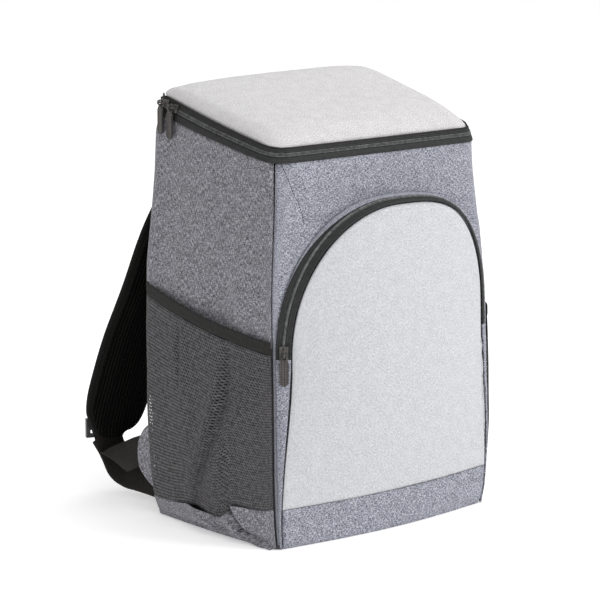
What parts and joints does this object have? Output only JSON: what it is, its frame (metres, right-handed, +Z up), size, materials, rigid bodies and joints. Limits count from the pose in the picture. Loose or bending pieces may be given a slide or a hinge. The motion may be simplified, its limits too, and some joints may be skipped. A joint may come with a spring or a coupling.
{
  "type": "cooler backpack",
  "caption": "Boxy soft cooler backpack with a domed zip lid, an arched zip front pocket, net side pockets and padded shoulder straps.",
  "frame": {"origin": "centre of the base, on the surface the bag stands on", "axes": "+Z up, -Y towards the front pocket, +X towards the bag's right side in a front view"},
  "size_m": [0.3192, 0.32, 0.4358],
  "materials": {
    "grey_cloth": "matte",
    "light_cloth": "matte",
    "dark_tape": "matte",
    "net_cloth": "matte",
    "pad_cloth": "matte",
    "webbing": "matte",
    "hard_plastic": "satin",
    "pull_rubber": "matte"
  },
  "bodies": {
    "bag": {"front_panel": "grey_cloth", "side_panel_right": "grey_cloth", "back_panel": "pad_cloth", "side_panel_left": "grey_cloth", "base_panel": "grey_cloth", "lid_tape_lower": "dark_tape", "lid_coil": "dark_tape", "lid_tape_upper": "dark_tape", "lid_panel": "light_cloth", "pocket_panel": "light_cloth", "pocket_base_band": "grey_cloth", "pocket_gusset_left": "grey_cloth", "pocket_gusset_right": "grey_cloth", "pocket_tape_outer": "dark_tape", "pocket_coil": "dark_tape", "pocket_tape_inner": "dark_tape", "net_left": "net_cloth", "net_binding_left": "dark_tape", "side_band_left": "grey_cloth", "net_right": "net_cloth", "net_binding_right": "dark_tape", "side_band_right": "grey_cloth", "shoulder_pad_left": "pad_cloth", "webbing_left": "webbing", "webbing_tail_left": "webbing", "corner_tab_left": "grey_cloth", "ladder_lock_left": "hard_plastic", "shoulder_pad_right": "pad_cloth", "webbing_right": "webbing", "webbing_tail_right": "webbing", "corner_tab_right": "grey_cloth", "ladder_lock_right": "hard_plastic", "lid_1_slider": "hard_plastic", "lid_2_slider": "hard_plastic", "pocket_slider": "hard_plastic"},
    "lid_1_pull_body": {"lid_1_pull": "pull_rubber"},
    "lid_2_pull_body": {"lid_2_pull": "pull_rubber"},
    "pocket_pull_body": {"pocket_pull": "pull_rubber"}
  },
  "joints": [
    {"name": "lid_1_pull_hinge", "type": "hinge", "parent": "bag", "child": "lid_1_pull_body", "pos_m": [-0.1356, 0.08468, 0.41749], "axis": [0.2197, 0.9756, 0], "range_deg": [0, 85]},
    {"name": "lid_2_pull_hinge", "type": "hinge", "parent": "bag", "child": "lid_2_pull_body", "pos_m": [-0.13706, 0.0685, 0.41421], "axis": [0.0692, 0.9976, 0], "range_deg": [0, 85]},
    {"name": "pocket_pull_hinge", "type": "hinge", "parent": "bag", "child": "pocket_pull_body", "pos_m": [-0.13411, -0.09986, 0.19372], "axis": [-0.8234, 0.5675, 0], "range_deg": [0, 85]}
  ]
}
